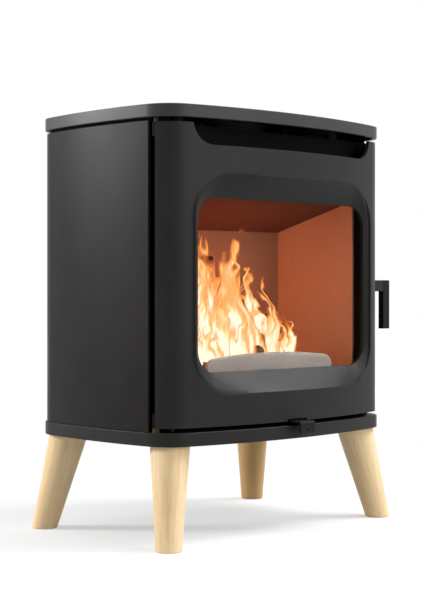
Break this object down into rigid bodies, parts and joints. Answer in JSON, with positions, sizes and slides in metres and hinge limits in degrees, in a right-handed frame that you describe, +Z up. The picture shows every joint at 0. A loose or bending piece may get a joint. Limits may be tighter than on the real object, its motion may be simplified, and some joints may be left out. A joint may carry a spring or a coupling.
{
  "type": "cast iron wood stove",
  "caption": "Freestanding wood stove with a bowed cast iron casing, a large glazed door, splayed wooden legs, a flue collar and a sliding air control.",
  "frame": {"origin": "on the floor, straight below the middle of the flue collar, which is the middle of the top plate's width and depth", "axes": "+Z up, front faces -Y, +X towards the handle side"},
  "size_m": [0.5992, 0.4054, 0.717],
  "materials": {
    "cast_iron": "matt anthracite stove paint on a fine cast texture",
    "painted_sheet": "matt anthracite stove paint on smooth sheet",
    "handle_steel": "satin dark grey paint on smooth steel",
    "grey_iron": "bare heat-greyed casting",
    "firebox_steel": "dark heatproof paint, sooted",
    "sheet_steel": "mill-finished sheet",
    "zinc": "zinc plated",
    "brass": "turned",
    "lining": "pressed vermiculite board, matt and grainy",
    "beech": "oiled beech, straight grain along the leg",
    "firewood": "split logs, charred",
    "rope": "woven glass-fibre rope and tape",
    "glass": "clear ceramic glass"
  },
  "bodies": {
    "stove": {"base_plate": "cast_iron", "front_left_leg": "beech", "front_right_leg": "beech", "rear_left_leg": "beech", "rear_right_leg": "beech", "leg_studs": "zinc", "leg_nuts": "zinc", "air_inlet_collar": "sheet_steel", "air_valve_seat": "sheet_steel", "air_slide_guides": "sheet_steel", "air_box_walls": "sheet_steel", "shell_floor": "firebox_steel", "shell_left_side": "firebox_steel", "shell_right_side": "firebox_steel", "shell_back": "firebox_steel", "shell_front": "firebox_steel", "shell_top": "firebox_steel", "ash_pan": "sheet_steel", "hearth_brick": "lining", "grate": "firebox_steel", "left_lining": "lining", "right_lining": "lining", "back_lining": "lining", "baffle_board": "lining", "smoke_shelf": "firebox_steel", "air_wash_angle": "firebox_steel", "log_guard": "grey_iron", "firewood": "firewood", "flue_collar": "cast_iron", "top_plate": "cast_iron", "top_screws": "zinc", "left_side_panel": "cast_iron", "right_side_panel": "cast_iron", "rear_panel": "painted_sheet", "rear_outlet_cover": "painted_sheet", "rear_screws": "zinc", "lower_hinge_pin": "zinc", "upper_hinge_pin": "zinc", "hinge_washer": "brass", "latch_keeper": "zinc"},
    "door": {"door_casting": "cast_iron", "window_gasket": "rope", "window_glass": "glass", "glass_clips": "zinc", "clip_screws": "zinc", "door_seal": "rope"},
    "handle": {"handle_spindle": "zinc", "spindle_circlip": "zinc", "latch_hook": "zinc", "handle_arm": "handle_steel", "handle_grip": "handle_steel", "grip_screw": "handle_steel"},
    "air_control": {"air_slide": "handle_steel"}
  },
  "joints": [
    {"name": "door_hinge", "type": "hinge", "parent": "stove", "child": "door", "pos_m": [-0.2607, -0.124, 0.44], "axis": [0, 0, -1], "range_deg": [0, 110]},
    {"name": "handle_turn", "type": "hinge", "parent": "door", "child": "handle", "pos_m": [0.26, -0.1212, 0.4207], "axis": [-1, 0, 0], "range_deg": [-20, 60]},
    {"name": "air_control_slide", "type": "slide", "parent": "stove", "child": "air_control", "axis": [0, -1, 0], "range_m": [-0.016, 0.02]}
  ]
}
